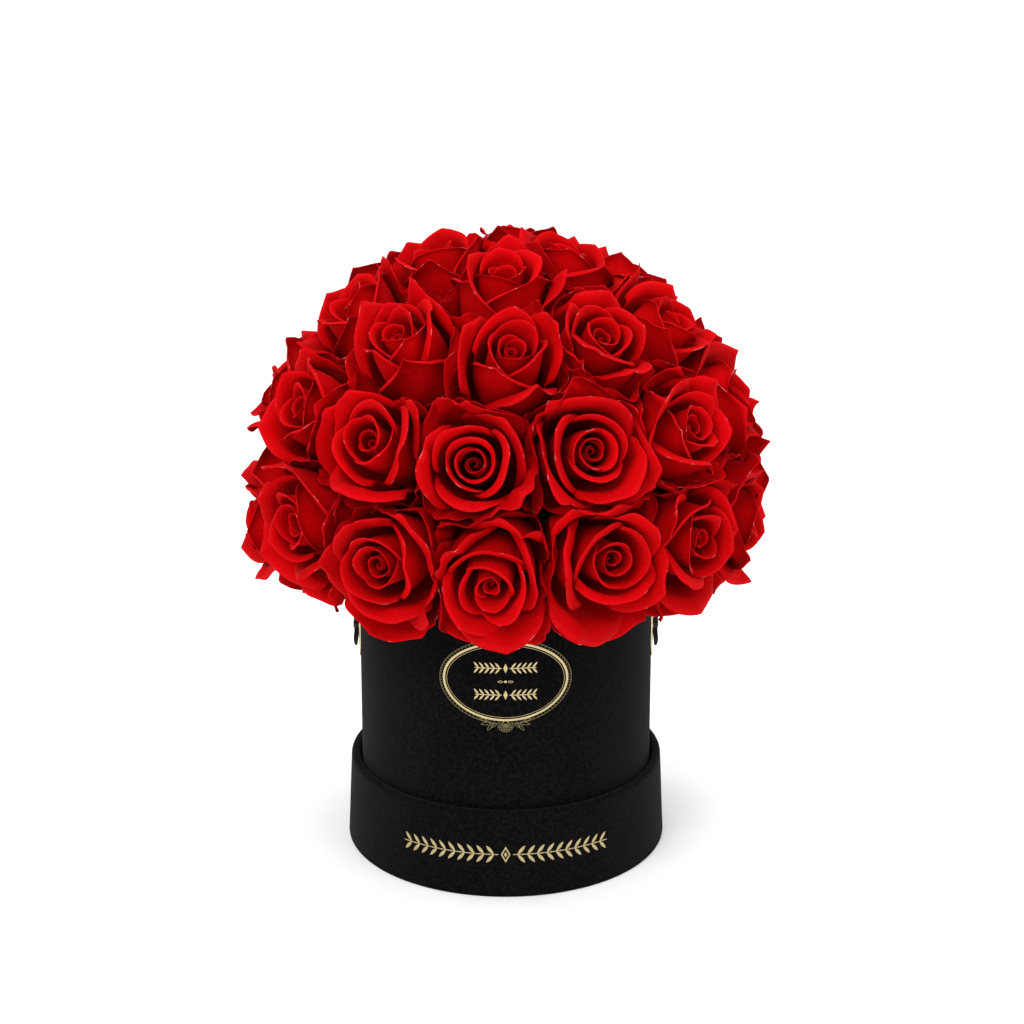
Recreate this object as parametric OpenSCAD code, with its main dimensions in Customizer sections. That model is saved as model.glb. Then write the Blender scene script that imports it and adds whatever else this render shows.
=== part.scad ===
// Round flower box: a suede-covered drum filled with a dome of preserved roses, standing in a
// wider suede-covered base tray, with a foil label and a hanging pull tab on each side.
// Millimetres. +Z is up and -Y is the front. The origin is the middle of the underside.

/* [Base tray] */
// Outer radius of the tray at its foot
tray_r = 76.1; // [60:0.1:110]
// Lean of the tray's wall inwards from foot to lip
tray_lean = 1.9; // [0:0.1:2.2]
// Height of the tray over all
tray_h = 42.3; // [25:0.1:70]
// Thickness of the tray's board
tray_board = 2.6; // [1.5:0.1:4]
// Radius of the tray's rounded lip
tray_lip = 2; // [1:0.1:2.1]
// Depth of the covering turned into the tray
tray_turn_in = 38.3; // [8:0.1:38.3]

/* [Drum] */
// Outer radius of the drum
drum_r = 69; // [55:0.5:103]
// Height of the drum's rim above the underside
drum_top = 150; // [110:1:200]
// Thickness of the drum's board
drum_board = 2.4; // [1.5:0.1:4]
// Radius of the drum's rounded rim
drum_lip = 1.4; // [1:0.1:2]
// Depth of the covering turned into the drum
drum_turn_in = 12; // [8:1:25]

/* [Covering] */
// Thickness of the suede covering
wrap = 0.8; // [0.5:0.1:1.2]
// Width of the covering turned under each floor
turn_under = 12; // [8:1:25]
// Thickness of the paper lining
lining = 0.4; // [0.2:0.1:0.6]

/* [Foam] */
// Radius of the foam block in the drum
block_r = 62.4; // [50:0.1:96]
// Radius of the foam dome on the block
dome_r = 66; // [52:0.5:98]
// Height of the dome's centre above the underside
dome_z = 173; // [130:1:220]

/* [Roses] */
// Number of roses in each ring, lowest ring first
ring_count = [14, 12, 9, 4];
// Turn of the first rose of each ring from the front, in degrees
ring_turn = [-2.8, -6, 0, -3.4];
// Tilt of each ring above the level, in degrees
ring_tilt = [-0.5, 25.8, 50.4, 73.7];
// Wander of the roses around their ring, in degrees
ring_sway = 1.3; // [0:0.1:1.4]
// Wander of the roses above and below their ring, in degrees
ring_nod = 2; // [0:0.1:2.1]
// Head diameter of the roses in each ring
ring_head_d = [46.5, 43, 39, 40];
// Distance from the dome's centre to the foot of a rose head
head_foot = 74; // [60:1:110]
// Height of a rose head
head_h = 47; // [35:1:55]
// Radius of the picks that hold the roses
pick_r = 0.8; // [0.5:0.1:1.2]
// Distance from the dome's centre to a pick's inner end
pick_start = 42; // [30:1:52]

/* [Label and tray motif] */
// Half width of the label's oval
label_a = 28.4; // [20:0.1:34]
// Half height of the label's oval
label_b = 19.3; // [14:0.1:24]
// Height of the label's centre above the underside
label_z = 104.6; // [80:0.1:115]
// Height of the tray motif's centre above the underside
motif_z = 21.4; // [15:0.1:30]
// Half of the angle the tray motif spans, in degrees
motif_span = 38; // [20:1:50]
// Thickness of the foil
foil = 0.15; // [0.1:0.01:0.3]

/* [Side fittings] */
// Width of a side plate
plate_w = 22; // [18:1:30]
// Height of a side plate
plate_h = 44; // [36:1:50]
// Height of a side plate's centre above the underside
plate_z = 112; // [90:1:120]
// Thickness of a side plate
plate_t = 0.6; // [0.5:0.1:1]
// Radius of the staple's wire
staple_r = 0.6; // [0.4:0.1:0.8]
// Half of the distance between the staple's legs
staple_half = 6.5; // [5:0.5:8]
// Height of the staple above the underside
staple_z = 113.5; // [90:0.5:120]
// Distance of the staple's bar from the drum
staple_stand = 2; // [2:0.1:4]
// Length of a pull tab below the staple
tab_l = 18.8; // [14:0.1:20]
// Width of a pull tab at the loop
tab_w = 10; // [7:0.5:11]
// Radius of a pull tab's round tail
tail_r = 5.5; // [4:0.5:7]

/* [Hidden] */
$fn = 96;
glue = 0.05;
slack = 0.02;
tray_in_r = tray_r - wrap - tray_board;
tray_floor_z = wrap + tray_board + lining;
tray_floor_r = tray_in_r - tray_lean * tray_floor_z / tray_h - glue;
tray_lined = min(tray_turn_in, tray_h - tray_floor_z - 0.2);
drum_z = tray_floor_z + 0.1;
drum_in_r = drum_r - wrap - drum_board;
drum_floor_z = drum_z + wrap + drum_board;
bar_x = drum_r + staple_stand;
plate_out = drum_r + slack + plate_t;
tab_half = 0.8;
loop_in = staple_r + 0.05;
loop_out = loop_in + 0.5;
neck_half = 3.6;
neck_top = -5.8;
neck_low = -9.2;
collar_h = 2.6;

suede = [0.13, 0.12, 0.11];
board = [0.62, 0.52, 0.40];
paper = [0.10, 0.10, 0.10];
foam = [0.12, 0.30, 0.14];
gold = [0.86, 0.74, 0.45];
brass = [0.90, 0.80, 0.55];
red = [0.64, 0.03, 0.05];
green = [0.20, 0.36, 0.14];
steel = [0.55, 0.56, 0.55];

// ---- shared shapes ----

// A plain disc from z0 to z1
module disc(r, z0, z1) {
    translate([0, 0, z0]) cylinder(r = r, h = z1 - z0);
}

// A plain round wall from z0 to z1
module wall(r_in, r_out, z0, z1) {
    difference() {
        disc(r_out, z0, z1);
        disc(r_in, z0 - 1, z1 + 1);
    }
}

// Half section of a wall from z0 to z1 whose top leans in
module leaning(r_in, r_out, z0, z1, lean) {
    polygon([[r_in, z0], [r_out, z0], [r_out - lean, z1], [r_in - lean, z1]]);
}

// Half section of a covered wall, with a rounded top and a small radius at the foot
module covered_section(r_in, r_out, z0, z1, lip, foot, lean) {
    top = z1 - lip;
    translate([r_in, z0]) square([r_out - r_in - foot, 2 * foot]);
    leaning(r_in, r_out, z0 + foot, top, lean);
    translate([r_in - lean + lip, top - lip]) square([r_out - r_in - 2 * lip, 2 * lip]);
    translate([r_out - foot, z0 + foot]) circle(foot);
    for (x = [r_in + lip, r_out - lip]) translate([x - lean, top]) circle(lip);
}

// One covering, turned over the top edge and under the foot of a board wall
module covering(r_out, t, z0, z1, lip, turn_in, lean) {
    r_board = r_out - wrap - t;
    rotate_extrude() {
        difference() {
            covered_section(r_board - wrap, r_out, z0, z1, lip, 0.7, lean);
            leaning(r_board, r_board + t, z0 + wrap, z1 - wrap, lean);
            leaning(r_board - 4 * wrap, r_board + t / 4, z0 + wrap, z1 - turn_in,
                    lean * (z1 - turn_in - z0) / (z1 - z0));
        }
        translate([r_board - turn_under, z0]) square([turn_under, wrap]);
    }
}

// Leaf outline of length l and width w, lying along X from the origin
module leaf(l, w) {
    r = (l * l + w * w) / (4 * w);
    translate([l / 2, 0]) intersection() {
        translate([0, r - w / 2]) circle(r);
        translate([0, w / 2 - r]) circle(r);
    }
}

// Oval outline
module oval(a, b) {
    polygon([for (i = [0:71]) [a * cos(i * 5), b * sin(i * 5)]]);
}

// Turns children left for right when s is negative
module flip(s) {
    mirror([s < 0 ? 1 : 0, 0, 0]) children();
}

// Rectangle w by h with rounded corners of radius r
module rounded(w, h, r) {
    square([w - 2 * r, h], center = true);
    square([w, h - 2 * r], center = true);
    for (x = [r - w / 2, w / 2 - r], y = [r - h / 2, h / 2 - r]) translate([x, y]) circle(r);
}

// Presses a flat design, drawn with X across and Y up, onto a round wall at its front
module foil_on(r, z) {
    intersection() {
        wall(r + slack, r + slack + foil, z - 40, z + 40);
        facing(r, z) children();
    }
}

// Stands a flat design up in front of a round wall, at height z
module facing(r, z) {
    translate([0, -r / 2, z]) rotate([90, 0, 0]) linear_extrude(r) children();
}

// A spray of leaves along a thin stem, running along X from x0 to x1
module sprig(x0, x1, n, l, w) {
    translate([x0, -0.2]) square([x1 - x0, 0.4]);
    for (i = [0:n - 1])
        translate([x0 + (i + 0.3) * (x1 - x0) / n, 0])
            for (s = [-1, 1]) rotate([0, 0, s * 50]) leaf(l, w);
}

// Outline of a leaf with a line of width t
module open_leaf(l, w, t) {
    difference() {
        leaf(l, w);
        translate([1.6 * t, 0]) leaf(l - 3.2 * t, w - 1.8 * t);
    }
}

// ---- base tray ----

module tray_board_ring() {
    color(board) rotate_extrude()
        leaning(tray_in_r + slack, tray_r - wrap - glue, wrap + glue, tray_h - wrap - glue, tray_lean);
}

module tray_floor() {
    color(board) disc(tray_floor_r, wrap + glue, wrap + tray_board);
}

module tray_suede_wrap() {
    color(suede) covering(tray_r, tray_board, 0, tray_h, tray_lip, tray_lined, tray_lean);
}

// Paper glued to both faces of the tray floor
module tray_liner() {
    color(paper) {
        disc(tray_in_r - turn_under - glue, 0, wrap);
        disc(tray_floor_r - glue, wrap + tray_board + slack, tray_floor_z);
    }
}

// Garland of leaves on a thin stem with a diamond in the middle, around the tray's front
module tray_foil_motif() {
    r = tray_r + slack;
    step = motif_span / 11;
    color(gold) intersection() {
        rotate_extrude() leaning(r, r + foil, 0.7, tray_h - tray_lip, tray_lean);
        union() {
            for (s = [-1, 1], i = [1:10]) rotate([0, 0, s * (i + 0.2) * step])
                facing(tray_r, motif_z) flip(s) {
                    for (t = [-1, 1]) rotate([0, 0, t * 50]) leaf(5.5, 1.5);
                    translate([2.2, 0]) circle(0.35, $fn = 24);
                }
            facing(tray_r, motif_z) {
                for (s = [-1, 1]) flip(s) translate([3.4, -0.2])
                    square([tray_r * sin(motif_span) - 3.4, 0.4]);
                diamond(4.4, 8);
            }
        }
    }
}

// Open diamond with a solid one inside
module diamond(w, h) {
    difference() {
        polygon([[-w / 2, 0], [0, -h / 2], [w / 2, 0], [0, h / 2]]);
        polygon([[-w / 2 + 0.7, 0], [0, -h / 2 + 1.3], [w / 2 - 0.7, 0], [0, h / 2 - 1.3]]);
    }
    polygon([[-w / 6, 0], [0, -h / 6], [w / 6, 0], [0, h / 6]]);
}

// ---- drum ----

// The four holes of the side staples, through every layer of the drum's wall
module staple_holes() {
    for (s = [-1, 1], y = [-staple_half, staple_half])
        translate([s * (drum_in_r - 8), y, staple_z]) rotate([0, s * 90, 0])
            cylinder(r = staple_r + slack, h = 16);
}

module drum_board_tube() {
    color(board) difference() {
        wall(drum_in_r + slack, drum_r - wrap - glue, drum_z + wrap + glue, drum_top - wrap - glue);
        staple_holes();
    }
}

module drum_floor() {
    color(board) disc(drum_in_r - glue, drum_z + wrap + glue, drum_floor_z);
}

module drum_suede_wrap() {
    color(suede) difference() {
        covering(drum_r, drum_board, drum_z, drum_top, drum_lip, drum_turn_in, 0);
        staple_holes();
    }
}

// Paper lining of the drum, up to the turned-in covering
module drum_lining() {
    color(paper) difference() {
        wall(drum_in_r - lining, drum_in_r - slack, drum_floor_z + glue,
             drum_top - drum_turn_in - glue);
        staple_holes();
    }
}

// Foam filling the drum, carved to a dome on top and pierced by the picks
module foam_block() {
    color(foam) difference() {
        union() {
            disc(block_r, drum_floor_z + glue, drum_top);
            intersection() {
                translate([0, 0, dome_z]) sphere(dome_r);
                disc(2 * dome_r, drum_top - 1, dome_z + dome_r + 1);
            }
        }
        each_rose() translate([0, 0, pick_start - 1])
            cylinder(r = pick_r + slack, h = dome_r - pick_start + 5);
    }
}

// ---- label ----

// Oval frame with a hairline inside and a corded line outside, leaf sprays above and below it,
// and two garlands of leaves with a small bloom between them
module label_foil() {
    color(gold) foil_on(drum_r, label_z) {
        difference() {
            oval(label_a, label_b);
            oval(label_a - 1, label_b - 1);
        }
        difference() {
            oval(label_a - 1.7, label_b - 1.7);
            oval(label_a - 1.86, label_b - 1.86);
        }
        difference() {
            oval(label_a + 1.5, label_b + 1.5);
            oval(label_a + 1.3, label_b + 1.3);
        }
        for (i = [0:4:359]) translate([(label_a + 0.75) * cos(i), (label_b + 0.75) * sin(i)])
            rotate([0, 0, i + 30]) square([0.75, 0.2], center = true);
        for (s = [-1, 1]) {
            translate([0, s * 6.5]) {
                diamond(2, 4.6);
                for (t = [-1, 1]) flip(t) sprig(1.8, 13.8, 5, 3.5, 0.85);
            }
            flip(s) translate([1, 0]) open_leaf(2.6, 1.1, 0.22);
        }
        circle(0.6, $fn = 24);
        for (s = [-1, 1]) rotate([0, 0, 90 - s * 90]) translate([0, label_b + 1.6]) spray();
    }
}

// Scalloped fan between fine open leaves, standing on the frame
module spray() {
    for (a = [-72:24:72]) rotate([0, 0, 90 + a]) {
        translate([1, 0]) square([1.8, 0.2], center = true);
        translate([3.1, 0]) difference() {
            circle(0.72, $fn = 24);
            circle(0.5, $fn = 24);
        }
    }
    difference() {
        circle(1.9, $fn = 36);
        circle(1.65, $fn = 36);
    }
    for (t = [-1, 1]) flip(t) {
        translate([3.9, -0.6]) rotate([0, 0, 38]) open_leaf(3.6, 1.3, 0.22);
        translate([5.4, -0.7]) rotate([0, 0, 52]) open_leaf(4.9, 1.5, 0.22);
        translate([6.2, -0.8]) rotate([0, 0, 12]) open_leaf(5.2, 1.5, 0.22);
        translate([7.6, -1.4]) rotate([0, 0, -16]) open_leaf(4.6, 1.2, 0.22);
    }
}

// ---- side fittings; side is -1 on the left and 1 on the right ----

// Long plate with round ends, bent to the drum
module side_plate(side) {
    flat = plate_h - plate_w;
    color(brass) difference() {
        intersection() {
            wall(drum_r + slack, plate_out, plate_z - plate_h, plate_z + plate_h);
            translate([0, 0, plate_z]) rotate([90, 0, side * 90]) linear_extrude(2 * drum_r) {
                square([plate_w, flat], center = true);
                for (y = [-flat / 2, flat / 2]) translate([0, y]) circle(plate_w / 2);
            }
        }
        staple_holes();
    }
}

// Wire staple: a bar outside the plate, two legs through the wall, ends bent apart inside
module side_staple(side) {
    leg_in = block_r + 1.3;
    color(brass) flip(side) translate([0, 0, staple_z]) {
        translate([bar_x, -staple_half, 0]) rotate([-90, 0, 0])
            cylinder(r = staple_r, h = 2 * staple_half);
        for (s = [-1, 1]) {
            translate([bar_x, s * staple_half, 0]) sphere(staple_r);
            translate([leg_in, s * staple_half, 0]) rotate([0, 90, 0])
                cylinder(r = staple_r, h = bar_x - leg_in);
            translate([leg_in, s * staple_half, 0]) sphere(staple_r);
            translate([leg_in, s * staple_half, 0]) rotate([-s * 90, 0, 0])
                cylinder(r = staple_r, h = 3.5);
        }
    }
}

// Suede tab folded around the staple's bar, narrowed at a neck, with a swelling round tail
module pull_tab(side) {
    color(suede) translate([side * bar_x, 0, staple_z]) intersection() {
        rotate([90, 0, 0]) linear_extrude(2 * tail_r, center = true) difference() {
            union() {
                circle(loop_out);
                translate([-tab_half, neck_low - 2]) square([2 * tab_half, -neck_low + 1]);
                translate([0, -tab_l - 0.8]) rotate([0, 0, 90]) leaf(12, 2.1);
            }
            circle(loop_in);
        }
        rotate([90, 0, 90]) linear_extrude(10, center = true) {
            polygon([
                [-tab_w / 2, 2], [-tab_w / 2, -3], [-neck_half, neck_top], [-neck_half, neck_low],
                [-tail_r, tail_r - tab_l], [tail_r, tail_r - tab_l], [neck_half, neck_low],
                [neck_half, neck_top], [tab_w / 2, -3], [tab_w / 2, 2]
            ]);
            translate([0, tail_r - tab_l]) circle(tail_r);
        }
    }
}

// Band bound around the tab's neck
module pull_collar(side) {
    color(suede) translate([side * bar_x, 0, staple_z + (neck_top + neck_low - collar_h) / 2])
        linear_extrude(collar_h) difference() {
            rounded(2.3, 2 * neck_half + 1.2, 0.9);
            square([2 * tab_half + 2 * slack, 2 * neck_half + 2 * slack], center = true);
        }
}

module side_plate_left() { side_plate(-1); }
module side_plate_right() { side_plate(1); }
module side_staple_left() { side_staple(-1); }
module side_staple_right() { side_staple(1); }
module pull_tab_left() { pull_tab(-1); }
module pull_tab_right() { pull_tab(1); }
module pull_collar_left() { pull_collar(-1); }
module pull_collar_right() { pull_collar(1); }

// ---- roses ----

// Points children along the axis of rose i of a ring, from the dome's centre
module along_rose(ring, i) {
    turn = ring_turn[ring] + i * 360 / ring_count[ring] + ring_sway * sin(27 * i + 261 * ring);
    tilt = ring_tilt[ring] + ring_nod * sin(188 * i + 310 * ring);
    translate([0, 0, dome_z]) rotate([0, 0, turn]) rotate([90 - tilt, 0, 0]) children();
}

module each_rose() {
    for (ring = [0:3], i = [0:ring_count[ring] - 1]) along_rose(ring, i) children();
}

// Pins between the foam and the rose heads
module rose_picks() {
    color(steel) each_rose() translate([0, 0, pick_start])
        cylinder(r = pick_r, h = head_foot - 3 - pick_start);
}

// Green cup below each rose head
module rose_calyxes() {
    color(green) each_rose() rotate_extrude() polygon([
        [pick_r + slack, head_foot - 6.5], [1.8, head_foot - 6.5], [3.4, head_foot - 5],
        [4.6, head_foot - 2], [4.8, head_foot - glue], [0, head_foot - glue],
        [0, head_foot - 3 + slack], [pick_r + slack, head_foot - 3 + slack]
    ]);
}

// Rose head: a cup of outer petals, two inner whorls and a closed heart
module rose(ring, i) {
    k = ring_head_d[ring] / 46;
    h = head_h / 47;
    color(red) along_rose(ring, i) translate([0, 0, head_foot]) rotate_extrude() polygon([
        [0, 0], [5 * k, 0], [11 * k, 3.5 * h], [16 * k, 9 * h], [19.5 * k, 17 * h],
        [21.7 * k, 25.5 * h], [23 * k, 33.5 * h], [22.4 * k, 37 * h], [20.2 * k, 37.6 * h],
        [18.6 * k, 33.5 * h], [17.9 * k, 39 * h], [16.2 * k, 41.2 * h], [14.8 * k, 41 * h],
        [13.4 * k, 37 * h], [12.6 * k, 42.4 * h], [10.8 * k, 44.2 * h], [9.6 * k, 44 * h],
        [8.4 * k, 40 * h], [7.6 * k, 45 * h], [5 * k, 46.8 * h], [0, 47 * h]
    ]);
}

module rose_01() { rose(0, 0); }
module rose_02() { rose(0, 1); }
module rose_03() { rose(0, 2); }
module rose_04() { rose(0, 3); }
module rose_05() { rose(0, 4); }
module rose_06() { rose(0, 5); }
module rose_07() { rose(0, 6); }
module rose_08() { rose(0, 7); }
module rose_09() { rose(0, 8); }
module rose_10() { rose(0, 9); }
module rose_11() { rose(0, 10); }
module rose_12() { rose(0, 11); }
module rose_13() { rose(0, 12); }
module rose_14() { rose(0, 13); }
module rose_15() { rose(1, 0); }
module rose_16() { rose(1, 1); }
module rose_17() { rose(1, 2); }
module rose_18() { rose(1, 3); }
module rose_19() { rose(1, 4); }
module rose_20() { rose(1, 5); }
module rose_21() { rose(1, 6); }
module rose_22() { rose(1, 7); }
module rose_23() { rose(1, 8); }
module rose_24() { rose(1, 9); }
module rose_25() { rose(1, 10); }
module rose_26() { rose(1, 11); }
module rose_27() { rose(2, 0); }
module rose_28() { rose(2, 1); }
module rose_29() { rose(2, 2); }
module rose_30() { rose(2, 3); }
module rose_31() { rose(2, 4); }
module rose_32() { rose(2, 5); }
module rose_33() { rose(2, 6); }
module rose_34() { rose(2, 7); }
module rose_35() { rose(2, 8); }
module rose_36() { rose(3, 0); }
module rose_37() { rose(3, 1); }
module rose_38() { rose(3, 2); }
module rose_39() { rose(3, 3); }

tray_board_ring();
tray_floor();
tray_suede_wrap();
tray_liner();
tray_foil_motif();
drum_board_tube();
drum_floor();
drum_suede_wrap();
drum_lining();
foam_block();
label_foil();
side_plate_left();
side_plate_right();
side_staple_left();
side_staple_right();
pull_tab_left();
pull_tab_right();
pull_collar_left();
pull_collar_right();
rose_picks();
rose_calyxes();
rose_01();
rose_02();
rose_03();
rose_04();
rose_05();
rose_06();
rose_07();
rose_08();
rose_09();
rose_10();
rose_11();
rose_12();
rose_13();
rose_14();
rose_15();
rose_16();
rose_17();
rose_18();
rose_19();
rose_20();
rose_21();
rose_22();
rose_23();
rose_24();
rose_25();
rose_26();
rose_27();
rose_28();
rose_29();
rose_30();
rose_31();
rose_32();
rose_33();
rose_34();
rose_35();
rose_36();
rose_37();
rose_38();
rose_39();
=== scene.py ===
"""Looks of the round flower box: roses, suede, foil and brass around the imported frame."""

import math

import bmesh
import bpy
import numpy as np
from bpy.props import FloatProperty, FloatVectorProperty, IntProperty, PointerProperty
from mathutils import Matrix, Vector


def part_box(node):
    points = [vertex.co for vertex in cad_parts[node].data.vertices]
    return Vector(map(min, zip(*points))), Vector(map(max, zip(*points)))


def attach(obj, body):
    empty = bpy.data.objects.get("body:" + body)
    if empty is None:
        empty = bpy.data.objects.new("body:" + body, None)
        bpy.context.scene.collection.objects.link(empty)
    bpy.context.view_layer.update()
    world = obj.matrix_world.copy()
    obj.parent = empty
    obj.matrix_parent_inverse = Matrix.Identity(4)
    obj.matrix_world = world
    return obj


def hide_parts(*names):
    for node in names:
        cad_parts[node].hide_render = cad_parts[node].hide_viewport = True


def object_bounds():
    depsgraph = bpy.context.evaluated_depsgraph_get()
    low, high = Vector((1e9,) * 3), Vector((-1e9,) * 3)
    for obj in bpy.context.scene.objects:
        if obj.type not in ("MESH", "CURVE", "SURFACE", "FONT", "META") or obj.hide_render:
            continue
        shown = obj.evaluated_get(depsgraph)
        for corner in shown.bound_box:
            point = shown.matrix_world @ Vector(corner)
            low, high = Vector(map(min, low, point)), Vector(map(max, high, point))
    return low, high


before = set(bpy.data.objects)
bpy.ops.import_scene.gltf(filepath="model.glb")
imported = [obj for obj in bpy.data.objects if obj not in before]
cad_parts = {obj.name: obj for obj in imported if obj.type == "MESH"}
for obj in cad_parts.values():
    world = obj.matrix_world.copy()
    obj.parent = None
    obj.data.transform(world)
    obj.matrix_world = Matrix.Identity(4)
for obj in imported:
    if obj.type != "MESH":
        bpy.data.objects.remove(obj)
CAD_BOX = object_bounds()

bl_info = {
    "name": "Flower Box",
    "version": (1, 0, 0),
    "blender": (4, 5, 0),
    "location": "View3D > Sidebar > Flower Box",
    "description": "Builds the roses, coverings, fittings and stage of a round flower box",
    "category": "Object",
}

MM = 0.001
GOLDEN = math.radians(137.508)
# The bright oval's semi-axes over half the label's width, and the gain of the duller foil outside it
OVAL_WIDE, OVAL_HIGH, BORDER_DULL = 28.65 / 29.9, 19.55 / 29.9, 0.42


# ---------------------------------------------------------------- properties

class FlowerBoxSizes(bpy.types.PropertyGroup):
    petals: IntProperty(name="Petals", description="Petals of each rose head without its guard petals",
                        default=15, min=10, max=30)
    heart_petals: IntProperty(name="Heart petals", description="Petals of the closed heart", default=5, min=3,
                              max=8)
    guard_petals: IntProperty(name="Guard petals", description="Wide pointed petals below each head",
                              default=6, min=0, max=9)
    petal_thickness: FloatProperty(name="Petal thickness", description="Petal thickness in millimetres",
                                   default=0.5, min=0.2, max=1.2)
    head_spread: FloatProperty(name="Head spread", description="Spread of a head against a 46 mm head",
                               default=1.1, min=0.9, max=1.3)
    crowding: FloatProperty(name="Crowding",
                            description="Depth in millimetres over which neighbouring heads press together",
                            default=5.0, min=1.0, max=8.0)
    nap: FloatProperty(name="Suede nap", description="Depth of the suede's nap in millimetres", default=0.12,
                       min=0.0, max=0.5)


class FlowerBoxColours(bpy.types.PropertyGroup):
    petal: FloatVectorProperty(name="Petals", description="Colour of the petals", subtype="COLOR", size=3,
                               min=0, max=1, default=(0.42, 0.0004, 0.0014))
    # The rim colour is a painted highlight: lighter red laid on the petals' rolled rims, standing in for light
    # catching them.
    rim: FloatVectorProperty(name="Petal rim highlight", description="Colour of the highlight painted on the petals' thin rims",
                             subtype="COLOR", size=3, min=0, max=1, default=(0.52, 0.003, 0.006))
    suede: FloatVectorProperty(name="Suede", description="Colour of the box's covering", subtype="COLOR",
                               size=3, min=0, max=1, default=(0.0022, 0.0020, 0.0022))
    tab: FloatVectorProperty(name="Tabs", description="Colour of the pull tabs", subtype="COLOR", size=3,
                             min=0, max=1, default=(0.010, 0.008, 0.0085))
    foil: FloatVectorProperty(name="Foil", description="Colour of the pressed foil", subtype="COLOR", size=3,
                              min=0, max=1, default=(0.47, 0.385, 0.20))
    brass: FloatVectorProperty(name="Brass", description="Colour of the side plates", subtype="COLOR", size=3,
                               min=0, max=1, default=(0.64, 0.53, 0.32))
    floor: FloatVectorProperty(name="Floor", description="Colour of the floor", subtype="COLOR", size=3,
                               min=0, max=1, default=(0.985, 0.985, 0.985))


# ------------------------------------------------------------ shader helpers

class Tree:
    """Adds nodes to a node tree and links them in one call each."""

    def __init__(self, tree):
        self.tree = tree

    def add(self, kind, inputs=None, **settings):
        node = self.tree.nodes.new(kind)
        for key, value in settings.items():
            setattr(node, key, value)
        for key, value in (inputs or {}).items():
            socket = node.inputs[key]
            if isinstance(value, bpy.types.NodeSocket):
                self.tree.links.new(value, socket)
            else:
                socket.default_value = value
        return node

    def math(self, operation, a, b=0.0, clamp=False):
        node = self.add("ShaderNodeMath", {0: a, 1: b}, operation=operation, use_clamp=clamp)
        return node.outputs[0]

    def mix(self, factor, a, b, blend="MIX"):
        node = self.add("ShaderNodeMix", {0: factor, 6: a, 7: b}, data_type="RGBA", blend_type=blend)
        return node.outputs[2]

    def ramp(self, value, low, high):
        node = self.add("ShaderNodeMapRange", {0: value, 1: low, 2: high}, interpolation_type="SMOOTHSTEP")
        return node.outputs[0]


def node_group(name, inputs, outputs, build):
    """A shared effect: build(tree, in_sockets, out_node) fills it once."""
    group = bpy.data.node_groups.get(name)
    if group:
        return group
    group = bpy.data.node_groups.new(name, "ShaderNodeTree")
    kinds = {"f": "NodeSocketFloat", "c": "NodeSocketColor", "v": "NodeSocketVector"}
    for label, kind, value in inputs:
        socket = group.interface.new_socket(label, in_out="INPUT", socket_type=kinds[kind])
        if value is not None:
            socket.default_value = value
    for label, kind in outputs:
        group.interface.new_socket(label, in_out="OUTPUT", socket_type=kinds[kind])
    tree = Tree(group)
    source, sink = tree.add("NodeGroupInput"), tree.add("NodeGroupOutput")
    build(tree, source.outputs, sink)
    return group


def nap_group():
    """Short soft nap: a speckled tone, brushed patches and a fine bump."""
    def build(t, i, sink):
        place = t.add("ShaderNodeTexCoord").outputs["Object"]
        fine = t.add("ShaderNodeTexNoise", {"Vector": place, "Scale": i["Scale"], "Detail": 4.0,
                                            "Roughness": 0.65})
        fibre = t.add("ShaderNodeTexVoronoi", {"Vector": place, "Scale": t.math("MULTIPLY", i["Scale"], 1.7)})
        patch = t.add("ShaderNodeTexNoise", {"Vector": place, "Scale": i["Patch scale"], "Detail": 2.0,
                                             "Distortion": 0.6})
        speck = t.math("ADD", t.math("MULTIPLY", fine.outputs[0], 0.65),
                       t.math("MULTIPLY", fibre.outputs[0], 0.5))
        clump = t.add("ShaderNodeTexNoise", {"Vector": place, "Scale": t.math("MULTIPLY", i["Scale"], 0.45),
                                             "Detail": 2.0})
        tone = t.math("ADD", t.math("MULTIPLY", t.ramp(speck, 0.35, 0.9), 0.5),
                      t.math("MULTIPLY", t.ramp(clump.outputs[0], 0.38, 0.66), 0.6))
        tone = t.math("ADD", tone, t.math("MULTIPLY", t.math("SUBTRACT", patch.outputs[0], 0.5),
                                          i["Patches"]), clamp=True)
        bump = t.add("ShaderNodeBump", {"Height": speck, "Distance": i["Depth"], "Strength": 0.7})
        t.tree.links.new(tone, sink.inputs["Tone"])
        t.tree.links.new(bump.outputs[0], sink.inputs["Normal"])
    return node_group("Soft nap", [("Scale", "f", 1500.0), ("Patch scale", "f", 28.0), ("Patches", "f", 0.5),
                                   ("Depth", "f", 0.0001)],
                      [("Tone", "f"), ("Normal", "v")], build)


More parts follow.
